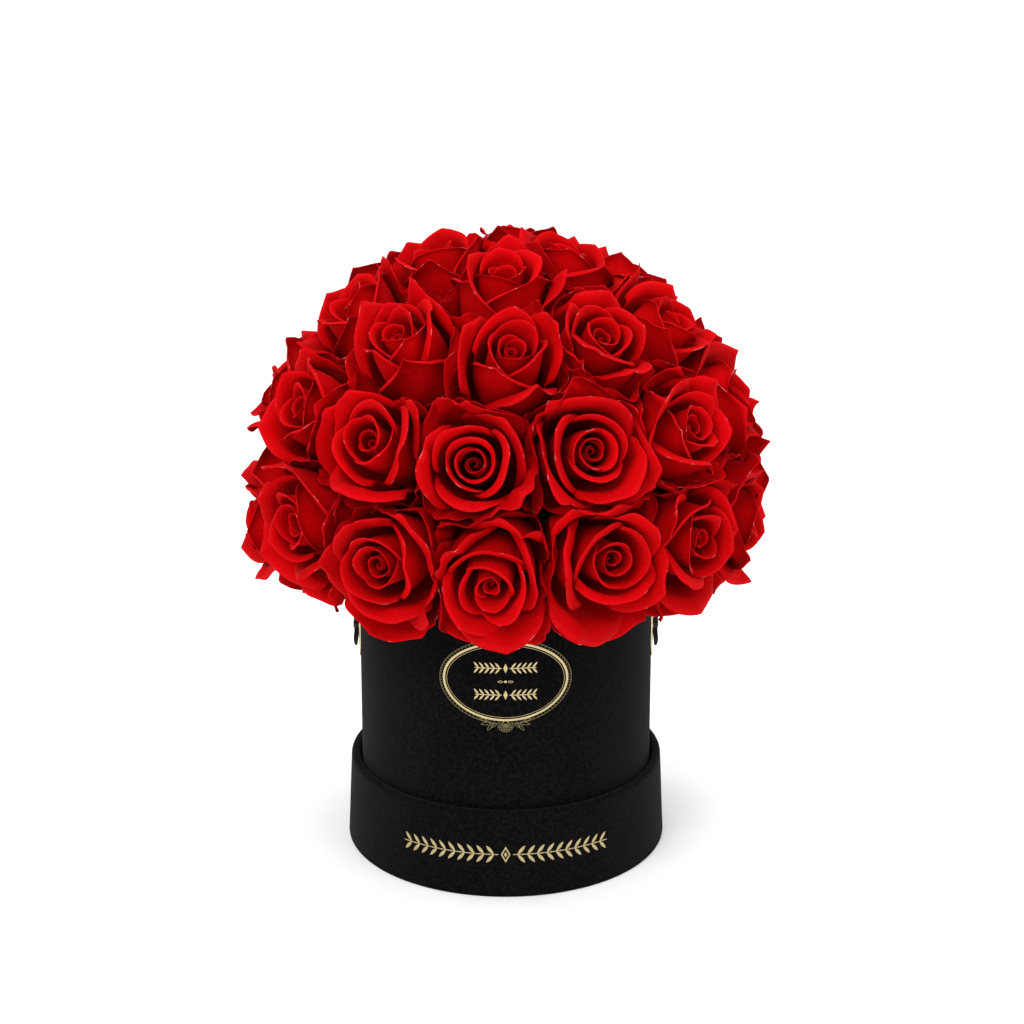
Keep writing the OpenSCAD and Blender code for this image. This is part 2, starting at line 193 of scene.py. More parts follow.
def vein_group():
    """Fine fanned veins and a velvet grain on a petal, from its own coordinates."""
    def build(t, i, sink):
        across = t.add("ShaderNodeUVMap", uv_map="petal").outputs[0]
        place = t.add("ShaderNodeTexCoord").outputs["Object"]
        stretch = t.add("ShaderNodeMapping", {"Vector": across, "Scale": (34.0, 3.0, 1.0)}).outputs[0]
        veins = t.add("ShaderNodeTexNoise", {"Vector": stretch, "Scale": 1.0, "Detail": 3.0,
                                             "Roughness": 0.6})
        velvet = t.add("ShaderNodeTexNoise", {"Vector": place, "Scale": i["Velvet scale"], "Detail": 3.0,
                                              "Roughness": 0.6})
        blotch = t.add("ShaderNodeTexNoise", {"Vector": place, "Scale": 130.0, "Detail": 2.0})
        mottle = t.add("ShaderNodeTexNoise", {"Vector": place, "Scale": 950.0, "Detail": 2.0})
        tone = t.math("ADD", t.math("MULTIPLY", veins.outputs[0], 0.35),
                      t.math("MULTIPLY", blotch.outputs[0], 0.35))
        tone = t.math("ADD", tone, t.math("MULTIPLY", t.ramp(mottle.outputs[0], 0.35, 0.65), 0.4))
        ridge = t.add("ShaderNodeBump", {"Height": veins.outputs[0], "Distance": i["Vein depth"],
                                         "Strength": 0.6})
        pile = t.add("ShaderNodeBump", {"Height": velvet.outputs[0], "Distance": i["Velvet depth"],
                                        "Strength": 0.5,
                                        "Normal": ridge.outputs[0]})
        t.tree.links.new(tone, sink.inputs["Tone"])
        t.tree.links.new(pile.outputs[0], sink.inputs["Normal"])
    return node_group("Petal veins", [("Velvet scale", "f", 2600.0), ("Vein depth", "f", 0.0004),
                                      ("Velvet depth", "f", 0.00005)],
                      [("Tone", "f"), ("Normal", "v")], build)


def grain_group():
    """General surface grain: noise stretched along an axis, as a tone and a bump."""
    def build(t, i, sink):
        place = t.add("ShaderNodeTexCoord").outputs["Object"]
        stretch = t.add("ShaderNodeMapping", {"Vector": place, "Scale": i["Stretch"]}).outputs[0]
        noise = t.add("ShaderNodeTexNoise", {"Vector": stretch, "Scale": i["Scale"], "Detail": 5.0,
                                             "Roughness": 0.6})
        bump = t.add("ShaderNodeBump", {"Height": noise.outputs[0], "Distance": i["Depth"], "Strength": 0.8})
        t.tree.links.new(t.ramp(noise.outputs[0], 0.3, 0.7), sink.inputs["Tone"])
        t.tree.links.new(bump.outputs[0], sink.inputs["Normal"])
    return node_group("Grain", [("Scale", "f", 600.0), ("Stretch", "v", (1.0, 1.0, 1.0)),
                                ("Depth", "f", 0.00005)],
                      [("Tone", "f"), ("Normal", "v")], build)


def edge_group():
    """How close a point is to a sharp edge, broken up by noise, for worn and rubbed edges."""
    def build(t, i, sink):
        round_normal = t.add("ShaderNodeBevel", {"Radius": i["Radius"]}, samples=4).outputs[0]
        flat_normal = t.add("ShaderNodeNewGeometry").outputs["Normal"]
        turn = t.add("ShaderNodeVectorMath", {0: round_normal, 1: flat_normal},
                     operation="DOT_PRODUCT").outputs["Value"]
        place = t.add("ShaderNodeTexCoord").outputs["Object"]
        breakup = t.add("ShaderNodeTexNoise", {"Vector": place, "Scale": 420.0, "Detail": 3.0}).outputs[0]
        edge = t.ramp(t.math("SUBTRACT", 1.0, turn), 0.02, 0.22)
        t.tree.links.new(t.math("MULTIPLY", edge, t.ramp(breakup, 0.35, 0.65), clamp=True),
                         sink.inputs["Edge"])
    return node_group("Rubbed edge", [("Radius", "f", 0.0004)], [("Edge", "f")], build)


def pore_group():
    """Open cells of floral foam, with painted shade: the cell pits are coloured darker."""
    def build(t, i, sink):
        place = t.add("ShaderNodeTexCoord").outputs["Object"]
        cells = t.add("ShaderNodeTexVoronoi", {"Vector": place, "Scale": i["Scale"]})
        crumb = t.add("ShaderNodeTexNoise", {"Vector": place, "Scale": 160.0, "Detail": 5.0})
        height = t.math("ADD", cells.outputs[0], t.math("MULTIPLY", crumb.outputs[0], 0.6))
        bump = t.add("ShaderNodeBump", {"Height": height, "Distance": i["Depth"], "Strength": 1.0})
        # Painted shade: the tone follows the relief, so the pits of the cells come out darker.
        t.tree.links.new(t.ramp(height, 0.3, 1.1), sink.inputs["Tone"])
        t.tree.links.new(bump.outputs[0], sink.inputs["Normal"])
    return node_group("Foam cells", [("Scale", "f", 900.0), ("Depth", "f", 0.0005)],
                      [("Tone", "f"), ("Normal", "v")], build)


def rgba(colour, gain=1.0):
    return (min(colour[0] * gain, 1), min(colour[1] * gain, 1), min(colour[2] * gain, 1), 1)


def material(name, colour, roughness, group, gains=(0.8, 1.2), settings=None, metallic=0.0, specular=0.4,
             sheen=None, wear=None, extra=None):
    """A Principled material whose colour, roughness and normal come from a shared effect group."""
    found = bpy.data.materials.get(name)
    if found:
        return found
    mat = bpy.data.materials.new(name)
    mat.use_nodes = True
    t = Tree(mat.node_tree)
    shader = mat.node_tree.nodes["Principled BSDF"]
    effect = t.add("ShaderNodeGroup", node_tree=group)
    for key, value in (settings or {}).items():
        effect.inputs[key].default_value = value
    tone = effect.outputs["Tone"]
    base = t.mix(tone, rgba(colour, gains[0]), rgba(colour, gains[1]))
    if extra:
        base = extra(t, base, tone)
    if wear:
        edge = t.add("ShaderNodeGroup", node_tree=edge_group())
        edge.inputs["Radius"].default_value = wear[1]
        base = t.mix(edge.outputs["Edge"], base, rgba(wear[0]))
    rough = t.math("ADD", roughness - 0.08, t.math("MULTIPLY", tone, 0.16), clamp=True)
    t.tree.links.new(base, shader.inputs["Base Color"])
    t.tree.links.new(rough, shader.inputs["Roughness"])
    t.tree.links.new(effect.outputs["Normal"], shader.inputs["Normal"])
    shader.inputs["Metallic"].default_value = metallic
    shader.inputs["Specular IOR Level"].default_value = specular
    if sheen:
        shader.inputs["Sheen Weight"].default_value = sheen[0]
        shader.inputs["Sheen Roughness"].default_value = sheen[1]
        shader.inputs["Sheen Tint"].default_value = rgba(sheen[2])
    return mat


def petal_material(colours):
    # Mixes the per-petal random tint, the painted rim highlight and the scuffs at the rim tips.
    def rims(t, base, tone):
        rim = t.add("ShaderNodeAttribute", attribute_name="rim").outputs["Fac"]
        tint = t.add("ShaderNodeAttribute", attribute_name="tint").outputs["Fac"]
        deep = t.mix(t.ramp(tint, 0.0, 1.0), rgba(colours.petal, 0.74), rgba(colours.petal, 1.2))
        base = t.mix(0.5, base, deep)
        # Painted highlight: the rims are blended towards the lighter rim colour, standing in for light catching
        # the rolled lips.
        base = t.mix(t.math("MULTIPLY", t.ramp(rim, 0.3, 1.0),
                            t.math("ADD", 0.3, t.math("MULTIPLY", tone, 0.5)), clamp=True), base,
                     rgba(colours.rim))
        place = t.add("ShaderNodeTexCoord").outputs["Object"]
        spots = t.add("ShaderNodeTexNoise", {"Vector": place, "Scale": 190.0, "Detail": 4.0}).outputs[0]
        scuff = t.math("MULTIPLY", t.ramp(rim, 0.93, 0.99), t.ramp(spots, 0.60, 0.68), clamp=True)
        return t.mix(t.math("MULTIPLY", scuff, 0.75), base, (0.62, 0.16, 0.17, 1))
    return material("Velvet petal", colours.petal, 0.85, vein_group(), (0.62, 1.32), specular=0.03,
                    sheen=(0.05, 0.4, (1.0, 0.05, 0.06)), extra=rims)


def suede_material(colours, sizes):
    return material("Black suede", colours.suede, 0.94, nap_group(), (0.1, 2.6),
                    {"Depth": sizes.nap * MM, "Patches": 0.45}, specular=0.03,
                    sheen=(0.03, 0.5, (1.0, 0.95, 0.90)))


def tab_material(colours, sizes):
    return material("Tab suede", colours.tab, 0.9, nap_group(), (0.6, 1.6),
                    {"Depth": sizes.nap * MM, "Scale": 1900.0},
                    specular=0.1, sheen=(0.06, 0.5, (1.0, 0.85, 0.80)), wear=((0.05, 0.035, 0.03), 0.0003))


def foil_material(colours):
    return material("Pressed foil", colours.foil, 0.34, grain_group(), (0.86, 1.1),
                    {"Scale": 1400.0, "Depth": 0.00004}, metallic=1.0)


def label_material(colours):
    """Pressed foil that is duller outside the label's bright oval line."""
    co = np.array([v.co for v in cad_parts["label_foil"].data.vertices], float)
    middle, half = (co.min(0) + co.max(0)) / 2, (co[:, 0].max() - co[:, 0].min()) / 2

    def dull(t, base, tone):
        place = t.add("ShaderNodeSeparateXYZ", {"Vector": t.add("ShaderNodeTexCoord").outputs["Object"]}).outputs
        across = t.math("DIVIDE", t.math("SUBTRACT", place[0], middle[0]), half * OVAL_WIDE)
        up = t.math("DIVIDE", t.math("SUBTRACT", place[2], middle[2]), half * OVAL_HIGH)
        away = t.math("ADD", t.math("MULTIPLY", across, across), t.math("MULTIPLY", up, up))
        return t.mix(t.ramp(away, 0.99, 1.01), base, rgba(colours.foil, BORDER_DULL))

    return material("Label foil", colours.foil, 0.34, grain_group(), (0.9, 1.15),
                    {"Scale": 1400.0, "Depth": 0.00004}, metallic=1.0, extra=dull)


def brass_material(colours):
    return material("Pale brass", colours.brass, 0.3, grain_group(), (0.82, 1.08),
                    {"Scale": 300.0, "Stretch": (6.0, 6.0, 0.35), "Depth": 0.00001}, metallic=1.0,
                    wear=((0.80, 0.70, 0.50), 0.0003))


def plain_materials():
    """The materials of the hidden and plain pieces, by slot."""
    return {
        "board": material("Box board", (0.38, 0.28, 0.19), 0.85, grain_group(), (0.75, 1.2),
                          {"Scale": 500.0, "Stretch": (1.0, 1.0, 3.0), "Depth": 0.0001}, specular=0.2,
                          wear=((0.52, 0.42, 0.32), 0.0004)),
        "lining_paper": material("Lining paper", (0.012, 0.012, 0.012), 0.7, grain_group(), (0.7, 1.5),
                                 {"Scale": 1100.0, "Depth": 0.00003}, specular=0.3),
        # The foam's darker cell pits are painted shade from its cell group.
        "foam": material("Floral foam", (0.005, 0.026, 0.008), 0.95, pore_group(), (0.45, 1.3), specular=0.1),
        "calyx": material("Dried calyx", (0.045, 0.10, 0.02), 0.8, grain_group(), (0.6, 1.5),
                          {"Scale": 900.0, "Stretch": (1.0, 1.0, 0.5), "Depth": 0.0001}, specular=0.2),
        "steel_wire": material("Steel wire", (0.45, 0.45, 0.44), 0.35, grain_group(), (0.85, 1.1),
                               {"Scale": 900.0, "Depth": 0.00001}, metallic=1.0),
    }


# -------------------------------------------------------------- mesh helpers

def new_object(name, points, quads, mat, smooth=True, uv=None, values=None):
    """A mesh object from points in metres and an array of quads, with optional layers."""
    points, quads = np.asarray(points, np.float32), np.asarray(quads, np.int32)
    mesh = bpy.data.meshes.new(name)
    mesh.vertices.add(len(points))
    mesh.vertices.foreach_set("co", points.ravel())
    mesh.loops.add(quads.size)
    mesh.loops.foreach_set("vertex_index", quads.ravel())
    mesh.polygons.add(len(quads))
    mesh.polygons.foreach_set("loop_start", np.arange(0, quads.size, 4, dtype=np.int32))
    mesh.polygons.foreach_set("loop_total", np.full(len(quads), 4, np.int32))
    mesh.update(calc_edges=True)
    mesh.validate()
    if smooth:
        mesh.shade_smooth()
    if uv is not None:
        layer = mesh.uv_layers.new(name="petal")
        layer.data.foreach_set("uv", np.asarray(uv, np.float32)[quads.ravel()].ravel())
    for key, value in (values or {}).items():
        mesh.attributes.new(key, "FLOAT", "POINT").data.foreach_set("value", np.asarray(value, np.float32))
    mesh.materials.append(mat)
    obj = bpy.data.objects.new(name, mesh)
    bpy.context.scene.collection.objects.link(obj)
    return obj


def grid_quads(rows, cols, start=0, wrap_rows=False, wrap_cols=False):
    """Quads over a grid of rows by cols points, closed round either way if asked."""
    r = np.arange(rows if wrap_rows else rows - 1)
    c = np.arange(cols if wrap_cols else cols - 1)
    i, j = np.meshgrid(r, c, indexing="ij")
    i2, j2 = (i + 1) % rows, (j + 1) % cols
    quads = np.stack([i * cols + j, i * cols + j2, i2 * cols + j2, i2 * cols + j], -1)
    return quads.reshape(-1, 4) + start


def grid_normals(grid):
    """Unit normals of a grid of points."""
    du, dv = np.gradient(grid, axis=1), np.gradient(grid, axis=0)
    n = np.cross(du, dv)
    return n / np.maximum(np.linalg.norm(n, axis=-1, keepdims=True), 1e-12)


def shell(grid, thickness, start=0):
    """Points and quads of a closed sheet of the given thickness (a number or one per point)."""
    rows, cols = grid.shape[:2]
    offset = grid_normals(grid) * (np.broadcast_to(thickness, (rows, cols))[..., None] / 2)
    points = np.concatenate([(grid + offset).reshape(-1, 3), (grid - offset).reshape(-1, 3)])
    count = rows * cols
    front = grid_quads(rows, cols)
    index = np.arange(count).reshape(rows, cols)
    rim = np.concatenate([index[0], index[1:, -1], index[-1, -2::-1], index[-2:0:-1, 0]])
    nxt = np.roll(rim, -1)
    edge = np.stack([rim, rim + count, nxt + count, nxt], -1)
    return points, np.concatenate([front, front[:, ::-1] + count, edge]) + start


def tube(path, radius, sides=8, closed=False):
    """Points and quads of a round tube along a path; its ends are drawn in to small caps."""
    path = np.asarray(path, float)
    d = np.gradient(path, axis=0)
    if closed:
        d = np.roll(path, -1, 0) - np.roll(path, 1, 0)
    d /= np.linalg.norm(d, axis=1, keepdims=True)
    side = np.cross(d[0], (0.31, 0.17, 0.93))
    radii = np.full(len(path), radius)
    if not closed:
        path = np.concatenate([path[:1] - d[:1] * radius * 0.7, path, path[-1:] + d[-1:] * radius * 0.7])
        d = np.concatenate([d[:1], d, d[-1:]])
        radii = np.concatenate([[radius * 0.25], radii, [radius * 0.25]])
    rings = []
    a = np.arange(sides) * 2 * math.pi / sides
    for p, t, r in zip(path, d, radii):
        side = side - t * (side @ t)
        side /= np.linalg.norm(side)
        up = np.cross(t, side)
        rings.append(p + r * (np.cos(a)[:, None] * side + np.sin(a)[:, None] * up))
    return np.concatenate(rings), grid_quads(len(rings), sides, wrap_rows=closed, wrap_cols=True)


def join(parts):
    """One set of points and quads from several."""
    points, quads, start = [], [], 0
    for p, q in parts:
        points.append(p)
        quads.append(q + start)
        start += len(p)
    return np.concatenate(points), np.concatenate(quads)


def ease(x):
    x = np.clip(x, 0, 1)
    return x * x * (3 - 2 * x)


def wave(rng, count=3):
    """A smooth random wave, about one in size."""
    k, p, a = rng.uniform(1.2, 5.0, count), rng.uniform(0, 6.283, count), rng.uniform(0.4, 1, count)
    return lambda u: sum(a[i] * np.sin(k[i] * u + p[i]) for i in range(count)) / count


def finish_piece(obj, body, slot, *nodes):
    """Gives a piece its body and hides the nodes that it stands for; the slot is not used."""
    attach(obj, body)
    if nodes:
        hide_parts(*nodes)


def set_material(node, mat):
    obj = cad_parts[node]
    obj.data.materials.clear()
    obj.data.materials.append(mat)


# --------------------------------------------------------------------- roses

def petal_grid(rng, s):
    """Rows of points up one petal, in millimetres, about the head's axis."""
    u = np.linspace(-1, 1, s["across"])
    side = np.abs(u)
    wave_a, wave_b = wave(rng), wave(rng)
    rim_z = s["rim_z"] - s["drop"] * side ** 2.3 + s["wavy"] * wave_a(u)
    rim_r = s["rim_r"] + s["spread"] * side ** 2 + 0.6 * s["wavy"] * wave_b(u) + s["tuck"] * u
    belly = s["belly"] + s["tuck"] * u
    rise = rim_z - s["foot_z"]
    p0 = np.stack([np.full_like(u, s["foot_r"]), np.full_like(u, s["foot_z"])], -1)
    p1 = np.stack([s["foot_r"] + 0.95 * (belly - s["foot_r"]), s["foot_z"] + 0.10 * rise], -1)
    p2 = np.stack([belly * 1.04, s["foot_z"] + s["shoulder"] * rise], -1)
    p3 = np.stack([rim_r, rim_z], -1)
    t = np.linspace(0, 1, s["rows"])[:, None, None]
    body = (1 - t) ** 3 * p0 + 3 * t * (1 - t) ** 2 * p1 + 3 * t * t * (1 - t) * p2 + t ** 3 * p3
    end = np.arctan2(*(p3 - p2).T[::-1])
    middle = np.exp(-np.abs(u - s["tip_u"]) / s["tip_w"])
    ragged = wave(rng, 5)
    roll = s["roll"] * (1 - s["tip_open"] * middle) * (1 + 0.25 * wave_a(u * 1.3 + 2))
    length = s["lip"] * (1 - 0.72 * side ** 3) * (1 + s["tip"] * middle) + s["rag"] * ragged(u * 9)
    q = (np.arange(s["lip_rows"]) + 0.5) / s["lip_rows"]
    angle = end - roll * q[:, None] ** 1.35
    step = np.stack([np.cos(angle), np.sin(angle)], -1) * (length / s["lip_rows"])[None, :, None]
    line = np.concatenate([body, p3[None] + np.cumsum(step, 0)])
    v = np.linspace(0, 1, len(line))[:, None]
    r, z = line[..., 0], line[..., 1]
    swing = s["half"] * (1 - s["narrow"] * v ** 3) * u[None, :]
    bend = r / np.maximum(1 - s["flat"] * v ** 1.5, 0.05)
    out, across = r - bend * (1 - np.cos(r * swing / bend)), bend * np.sin(r * swing / bend)
    turn = s["turn"] + s["twist"] * v
    x, y = out * np.cos(turn) - across * np.sin(turn), out * np.sin(turn) + across * np.cos(turn)
    points = np.stack([x, y, z], -1)
    k, p = rng.uniform(0.12, 0.4, (3, 3)), rng.uniform(0, 6.28, 3)
    dents = np.sin(points @ k.T + p).mean(-1) * ease(v * 1.5) * s["dent"]
    normal = np.stack([np.cos(turn + swing), np.sin(turn + swing), np.zeros_like(x)], -1)
    # Mask of the rolled lip and the side edges; it places the painted rim highlight and the rim scuffs.
    rim = np.maximum(ease((v - 0.8) / 0.2) + 0 * u, ease((side - 0.9) / 0.1) * v ** 2)
    uv = np.stack([u * 0.5 + 0.5 + 0 * v, v + 0 * u], -1)
    return points + normal * dents[..., None], rim, uv


def petal_specs(rng, count, heart, guards):
    """The shapes of one rose's petals: heart first, then the whorls, guard petals last."""
    specs = []
    turn = rng.uniform(0, 6.283)
    openness, bud, deep = rng.uniform(0.82, 1.12), rng.uniform(0.8, 1.2), rng.uniform(-1.0, 4.5)

    def vary(amount):
        return rng.uniform(-amount, amount)

    for k in range(count + guards):
        if k < heart:
            y = k / (heart - 1)
            s = dict(belly=(2.2 + 4.2 * y) * bud, rim_r=(0.9 + 4.4 * y) * bud,
                     rim_z=39.0 - deep + (2.2 + deep) * y + vary(0.6),
                     lip=0.9 + 1.1 * y, half=math.radians(150 - 34 * y), roll=math.radians(30 + 50 * y),
                     drop=1.5 + 2.0 * y,
                     flat=0.0, spread=0.2, tip=0.3, tip_open=0.1, shoulder=0.72, tuck=0.6, twist=0.4,
                     wavy=0.3, dent=0.15,
                     narrow=0.05, tip_w=0.25, rag=0.04, rows=9, lip_rows=5, dense=6)
        elif k < count:
            y = (k - heart) / (count - 1 - heart)
            s = dict(belly=7.4 + 13.2 * y ** 0.9, rim_r=(6.9 + 15.6 * y ** 1.05 * openness) *
                     (1 + vary(0.05)),
                     rim_z=42.8 + 1.2 * math.sin(3.1 * y) - 12.0 * y ** 1.6 + vary(1.5),
                     half=math.radians(90 - 34 * y + vary(9)), roll=math.radians(76 + 44 * y + vary(26)),
                     lip=2.8 + 7.6 * y ** 1.25 + vary(1.0), drop=4.0 + 5 * y + vary(1.5),
                     flat=0.05 + 0.4 * y ** 1.5,
                     spread=0.3 + 1.2 * y, tip=0.35 + 0.3 * y + vary(0.15), tip_open=0.15 + 0.4 * y,
                     shoulder=0.66 - 0.1 * y,
                     tuck=0.9, twist=0.18 * (1 - y), wavy=0.5 + 0.9 * y, dent=0.3 + 0.6 * y,
                     narrow=0.05 + 0.1 * y,
                     tip_w=0.34 - 0.06 * y, rag=0.07 + 0.03 * y, rows=11, lip_rows=9, dense=4)
        else:
            s = dict(belly=20.5 + vary(1.5), rim_r=29.0 + vary(3.0), rim_z=25.0 + vary(5.0),
                     half=math.radians(43 + vary(7)),
                     roll=math.radians(40 + vary(45)), lip=5.0 + vary(1.5), drop=5.0 + vary(2.0), flat=0.5,
                     spread=1.5,
                     tip=0.5 + vary(0.25), tip_open=0.5, shoulder=0.5, tuck=0.8, twist=0.0, wavy=1.6,
                     dent=0.9,
                     narrow=0.14, tip_w=0.27, rag=0.09, rows=11, lip_rows=8, dense=3.4)
        x = min(k / (count - 1), 1.0)
        s.update(foot_r=1.2 + 3.2 * x, foot_z=3.5 - 2.5 * x, turn=turn, tip_u=vary(0.25),
                 across=int(11 + math.degrees(s["half"]) / s.pop("dense")))
        turn += (GOLDEN if k < count - 1 else 2 * math.pi / max(guards, 1)) + vary(0.2)
        specs.append(s)
    return specs


def rose_seats():
    """Where each rose's solid points, as unit vectors from the dome's centre, and its sizes."""
    low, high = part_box("foam_block")
    centre = Vector(((low.x + high.x) / 2, (low.y + high.y) / 2, high.z - (high.x - low.x) / 2))
    seats = []
    for name in sorted(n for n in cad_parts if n.startswith("rose_") and n[5:].isdigit()):
        co = np.array([v.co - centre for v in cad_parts[name].data.vertices], float)
        far = np.linalg.norm(co, axis=1)
        axis = co[far.argmax()] / far.max()
        along = co @ axis
        radius = np.linalg.norm(co - along[:, None] * axis, axis=1).max()
        seats.append({"node": name, "axis": axis, "foot": along.min(), "tip": along.max(), "radius": radius})
    return np.array(centre), seats


def press_together(points, axis, others, start, gap):
    """Keeps points behind the wavy surfaces midway to neighbouring heads, so heads press but never cross."""
    for other, sign in others:
        normal = other - axis
        normal /= np.linalg.norm(normal)
        x, y, z = points.T / MM
        swell = 1.7 * np.sin(0.21 * x + 0.13 * z + 1.0) + 1.3 * np.sin(0.25 * y - 0.19 *
                                                                       z) + 0.8 * np.sin(0.4 * (x - y + z))
        d = points @ normal + sign * swell * MM
        over = d > -start
        pressed = -gap - (start - gap) * np.exp(-(d[over] + start) / (start - gap))
        points[over] += (pressed - d[over])[:, None] * normal
    return points


def build_roses(sizes, colours):
    centre, seats = rose_seats()
    mat = petal_material(colours)
    for number, seat in enumerate(seats):
        rng = np.random.default_rng(400 + number)
        axis = seat["axis"]
        side = np.cross(axis, (0.0, 0.0, 1.0))
        side /= np.linalg.norm(side)
        spin = np.stack([side, np.cross(axis, side), axis])
        across = (0.5 + 0.5 * seat["radius"] / (23 * MM)) * sizes.head_spread * rng.uniform(0.97, 1.06)
        lean = rng.uniform(-4.2, 4.2, 2)
        tall = (seat["tip"] - seat["foot"]) / (47 * MM)
        near = [(s["axis"], 1 if k > number else -1) for k, s in enumerate(seats)
                if k != number and s["axis"] @ axis > 0.72]
        parts, rims, uvs, tints = [], [], [], []
        start = 0
        for s in petal_specs(rng, sizes.petals, sizes.heart_petals, sizes.guard_petals):
            grid, rim, uv = petal_grid(rng, s)
            grid[..., :2] += lean * (grid[..., 2:] / 40) ** 2
            grid = grid * (across * MM, across * MM, tall * MM)
            grid[..., 2] += seat["foot"]
            grid = grid @ spin
            flat = press_together(grid.reshape(-1, 3), axis, near, sizes.crowding * MM, 0.35 * MM)
            rows = len(grid)
            thick = sizes.petal_thickness * MM * (1 - 0.45 * np.linspace(0, 1, rows)[:, None] ** 2)
            points, quads = shell(flat.reshape(grid.shape), thick, start)
            start += len(points)
            parts.append((points + centre, quads))
            # The rim mask becomes the petals' rim attribute, which places the painted rim highlight in the
            # material.
            rims += [rim.ravel()] * 2
            uvs += [uv.reshape(-1, 2)] * 2
            tints.append(np.full(len(points), rng.uniform(0, 1)))
        obj = new_object("head_" + seat["node"], np.concatenate([p for p, q in parts]),
                         np.concatenate([q for p, q in parts]), mat,
                         uv=np.concatenate(uvs), values={"rim": np.concatenate(rims),
                                                         "tint": np.concatenate(tints)})
        finish_piece(obj, "drum", "rose_petals", seat["node"])


def build_calyxes(mats):
    """A small cup and five curled sepals below each head."""
    centre, seats = rose_seats()
    parts = []
    for number, seat in enumerate(seats):
        rng = np.random.default_rng(900 + number)
        axis = seat["axis"]
        side = np.cross(axis, (0.0, 0.0, 1.0))
        side /= np.linalg.norm(side)
        spin = np.stack([side, np.cross(axis, side), axis])
        foot = seat["foot"] / MM
        a = np.arange(20) * math.pi / 10
        ring = [(0.9, -6.4), (1.9, -6.4), (3.0, -5.6), (4.0, -3.8), (4.7, -1.8), (4.9, -0.1), (3.6, -0.1)]
        cup = np.array([[(r * (1 + 0.04 * math.cos(5 * t)) * math.cos(t),
                          r * (1 + 0.04 * math.cos(5 * t)) * math.sin(t), foot + z)
                         for t in a] for r, z in ring])
        local = [(cup.reshape(-1, 3), grid_quads(len(ring), 20, wrap_cols=True))]
        for k in range(5):
            turn = k * 2 * math.pi / 5 + rng.uniform(-0.2, 0.2)
            v, u = np.linspace(0, 1, 9)[:, None], np.linspace(-1, 1, 5)[None, :]
            width = 2.6 * (1 - v) ** 0.6 * (0.5 + v)
            out = 4.6 + 5.5 * v ** 1.1 + 0 * u
            z = foot - 2.0 + 4.2 * v - 3.8 * v ** 3 + 0.5 * u ** 2
            y = width * u
            leaf = np.stack([out * math.cos(turn) - y * math.sin(turn),
                             out * math.sin(turn) + y * math.cos(turn), z], -1)
            local.append(shell(leaf, 0.35))
        points, quads = join(local)
        parts.append((points * MM @ spin + centre, quads))
    points, quads = join(parts)
    obj = new_object("calyxes_with_sepals", points, quads, mats["calyx"])
    finish_piece(obj, "drum", "calyx", "rose_calyxes")


# ----------------------------------------------------------------- coverings

